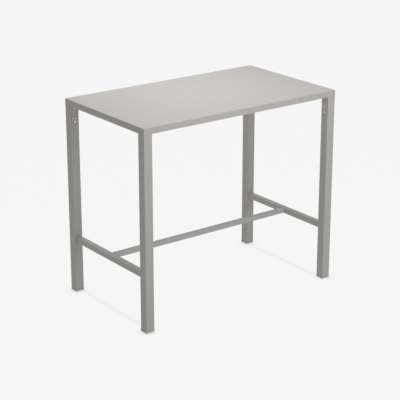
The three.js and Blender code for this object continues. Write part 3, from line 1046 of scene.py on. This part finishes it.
# %% One nut
NUT_WIDTH, NUT_HALF = 10.0 * MM, 2.5 * MM
NUT_BORE, NUT_MOUTH, NUT_FACE = 3.1 * MM, 3.5 * MM, 4.7 * MM
weld_nut = finish_turned("one_nut", [
    circle(NUT_BORE, -NUT_HALF + 0.4 * MM), circle(NUT_BORE, NUT_HALF - 0.4 * MM),
    circle(NUT_MOUTH, NUT_HALF), circle(NUT_FACE, NUT_HALF),
    hexagon(NUT_WIDTH, NUT_HALF - 0.5 * MM), hexagon(NUT_WIDTH, -NUT_HALF + 0.2 * MM),
    hexagon(NUT_WIDTH - 0.4 * MM, -NUT_HALF), circle(NUT_MOUTH, -NUT_HALF)], ends=False)

# %% Seat tree
SEAT_WAY = "way"
seat_tree, given, result = tree_with_inputs("on_seats", [
    ("Seats", "NodeSocketGeometry", None), ("Fastener", "NodeSocketObject", None), FINISH_INPUT])
way = place(
    seat_tree, "GeometryNodeInputNamedAttribute", {"Name": SEAT_WAY}, data_type="FLOAT_VECTOR")
facing = place(seat_tree, "FunctionNodeAlignRotationToVector", {"Vector": way.outputs[0]}, axis="Z")
pattern = place(seat_tree, "GeometryNodeObjectInfo", {"Object": given.outputs["Fastener"]})
copies = place(seat_tree, "GeometryNodeInstanceOnPoints", {
    "Points": given.outputs["Seats"], "Instance": pattern.outputs["Geometry"],
    "Rotation": facing.outputs[0]})
end_tree(seat_tree, given, result, copies.outputs[0])


# %% Seat the fasteners
def seat_fasteners(name, kind, pattern, depth):
    """Copy a pattern onto all nodes of a kind, at a depth below their inner ends."""
    seats, ways, nodes = [], [], []
    for corner, inward in CORNERS.items():
        for axis, letter in enumerate("xy"):
            node = f"{kind}_{letter}_{corner}"
            low, high, inner, _ = sides(node, inward)
            way = Vector((0.0, 0.0, 0.0))
            way[axis] = inward[axis]
            seat = (low + high) / 2
            seat[axis] = inner[axis] - inward[axis] * depth
            seats.append(seat)
            ways.append(way)
            nodes.append(node)
    points = bpy.data.meshes.new(name)
    points.from_pydata(seats, [], [])
    attribute = points.attributes.new(SEAT_WAY, "FLOAT_VECTOR", "POINT")
    attribute.data.foreach_set("vector", [v for way in ways for v in way])
    piece = grow(name, seat_tree, {"Fastener": pattern, "Finish": steel}, points)
    settle(piece, nodes)


seat_fasteners("post_bolts", "post_bolt", long_screw, HEAD_HEIGHT)
seat_fasteners("leg_screws", "leg_screw", short_screw, HEAD_HEIGHT)
seat_fasteners("weld_nuts", "weld_nut", weld_nut, NUT_HALF)
for pattern in (long_screw, short_screw, weld_nut):
    bpy.data.objects.remove(pattern)

# %% [markdown]
# ## Feet
# A plug of grey plastic closes the foot of each leg. Its flange stands a millimetre proud of the
# tube, and soft fins on its stem grip the inside of the tube. Under the flange lies a pad of pale
# nylon, rounded where it meets the floor, whose peg goes up through a hole in the plug. Both are
# rounded squares and circles, one above the other, so the loft that made the top makes them too.


# %% Stacked outlines
def stacked(name, node, steps, finish, ends=True):
    """A piece lofted through rounded squares: half widths, corner radii and heights."""
    low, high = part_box(node)
    centre = Vector(((low.x + high.x) / 2, (low.y + high.y) / 2, 0.0))
    loops = []
    for half, radius, z in steps:
        loops.append([point + centre for point in rounded_rectangle(half, half, radius, z)])
    settle(ease(loft(name, loops, finish, ends)), [node])


print("feet in", plastic.name, "and", nylon.name)

# %% Plugs
FLANGE, FLANGE_CORNER = 6.0 * MM, 2.0 * MM
STEM_HALF, STEM_WALL, STEM_CORNER = 20.3 * MM, 3.0 * MM, 2.0 * MM
FINS, FIN_REACH, FIN_PITCH, FIN_CORNER = 4, 1.4 * MM, 5.0 * MM, 2.4 * MM
HOLLOW, HOLLOW_CORNER = STEM_HALF - STEM_WALL, 1.0 * MM
PEG_HOLE = 6.3 * MM
for corner in CORNERS:
    node = "foot_plug_" + corner
    low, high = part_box(node)
    wide, top = (high.x - low.x) / 2, low.z + FLANGE
    steps = [(PEG_HOLE, PEG_HOLE, low.z), (PEG_HOLE, PEG_HOLE, top), (HOLLOW, HOLLOW_CORNER, top),
             (HOLLOW, HOLLOW_CORNER, high.z - 0.4 * MM), (HOLLOW + 0.4 * MM, 1.2 * MM, high.z),
             (STEM_HALF - 2.0 * MM, 1.5 * MM, high.z)]
    for i in range(FINS):
        z = high.z - (i + 1) * FIN_PITCH
        steps += [(STEM_HALF, STEM_CORNER, z), (STEM_HALF + FIN_REACH, FIN_CORNER, z - 0.5 * MM),
                  (STEM_HALF + FIN_REACH, FIN_CORNER, z - 1.1 * MM),
                  (STEM_HALF, STEM_CORNER, z - 1.6 * MM)]
    steps += [(STEM_HALF, STEM_CORNER, top), (wide - 0.5 * MM, 1.7 * MM, top),
              (wide - 0.15 * MM, 1.9 * MM, top - 0.15 * MM), (wide, FLANGE_CORNER, top - 0.5 * MM),
              (wide, FLANGE_CORNER, low.z + 0.5 * MM), (wide - 0.5 * MM, 1.7 * MM, low.z)]
    stacked("moulded_" + node, node, steps, plastic, ends=False)

# %% Pads
PAD, PAD_CORNER, PEG = 7.0 * MM, 1.5 * MM, 6.0 * MM
for corner in CORNERS:
    node = "foot_pad_" + corner
    low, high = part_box(node)
    wide = (high.x - low.x) / 2
    steps = [(PEG - 0.5 * MM, PEG - 0.5 * MM, high.z), (PEG, PEG, high.z - 0.5 * MM),
             (PEG, PEG, PAD), (wide - 0.4 * MM, 1.2 * MM, PAD), (wide, PAD_CORNER, PAD - 0.4 * MM),
             (wide, PAD_CORNER, 1.0 * MM), (wide - 0.3 * MM, 1.3 * MM, 0.3 * MM),
             (wide - 1.0 * MM, 0.9 * MM, 0.0)]
    stacked("moulded_" + node, node, steps, nylon)

# %% [markdown]
# ## Legs that keep no shadow
# The two lamps in front stand in for a light that comes from all sides. A real lamp there would
# throw the front legs' shadows along the end rails, and the picture has none. Light linking
# takes care of that: for these two lamps, all things block the light except the legs. The nearer
# lamp would also shine under the top onto the feet of the back legs. They are no paler there in
# the picture, so it lights all things except those two legs and their feet.


# %% Front lamps pass the legs
def link_set(name, pieces, state="INCLUDE"):
    """A collection for light linking: some pieces alone or, with EXCLUDE, all things but them."""
    chosen = bpy.data.collections.new(name)
    for piece in pieces:
        chosen.objects.link(bpy.data.objects[piece])
    for entry in chosen.collection_objects:
        entry.light_linking.link_state = state
    return chosen


passed = link_set("all_but_legs", ["tube_leg_" + corner for corner in CORNERS], "EXCLUDE")
for lamp in ("front_near", "front_low"):
    bpy.data.objects[lamp].light_linking.blocker_collection = passed
back_legs = [f"{kind}_back_{side}" for kind in ("tube_leg", "moulded_foot_plug", "moulded_foot_pad")
             for side in ("left", "right")]
shaded = link_set("all_but_back_legs", back_legs, "EXCLUDE")
bpy.data.objects["front_near"].light_linking.receiver_collection = shaded

# %% [markdown]
# ## A glint on the screws
# In the picture the lower screw on the back leg is the brightest spot of all: a lamp low in front
# is mirrored in it. A lamp of that kind joins ours, linked to the short screws alone.

# %% Glint
glint = soft_box(
    "glint", spot=(0.84, -2.07, 0.2), aim=(-0.61, 0.32, 0.985), size=(0.9, 0.6), watts=15.0)
glint.light_linking.receiver_collection = link_set("short_screws", ["leg_screws"])

# %% [markdown]
# ## A line of shadow under each end rail
# In the picture a faint line runs along the floor below each end rail, a little inside it. The
# lamps that light the table can't throw it, because the top is in their way. So each rail gets a
# sun of its own, and light linking does the rest: the sun lights the floor alone, and its rail is
# the only thing that blocks it. The suns' share of the floor's brightness comes off its own glow.

# %% Linked suns
SUN_POWER, SUN_WIDTH, SUN_LEAN = 6.8, math.radians(2.0), math.radians(2.9)
floor_alone = link_set("floor_alone", [floor.name])
for side, lean in (("left", -SUN_LEAN), ("right", SUN_LEAN)):
    lamp = bpy.data.lights.new("sun_on_rail_" + side, "SUN")
    lamp.energy, lamp.angle = SUN_POWER, SUN_WIDTH
    item = bpy.data.objects.new(lamp.name, lamp)
    item.rotation_euler.y = lean
    scene.collection.objects.link(item)
    item.light_linking.receiver_collection = floor_alone
    item.light_linking.blocker_collection = link_set(
        "blocks_" + lamp.name, ["tube_end_rail_" + side])
    print("sun", item.name, "leans", round(math.degrees(lean), 1), "degrees")
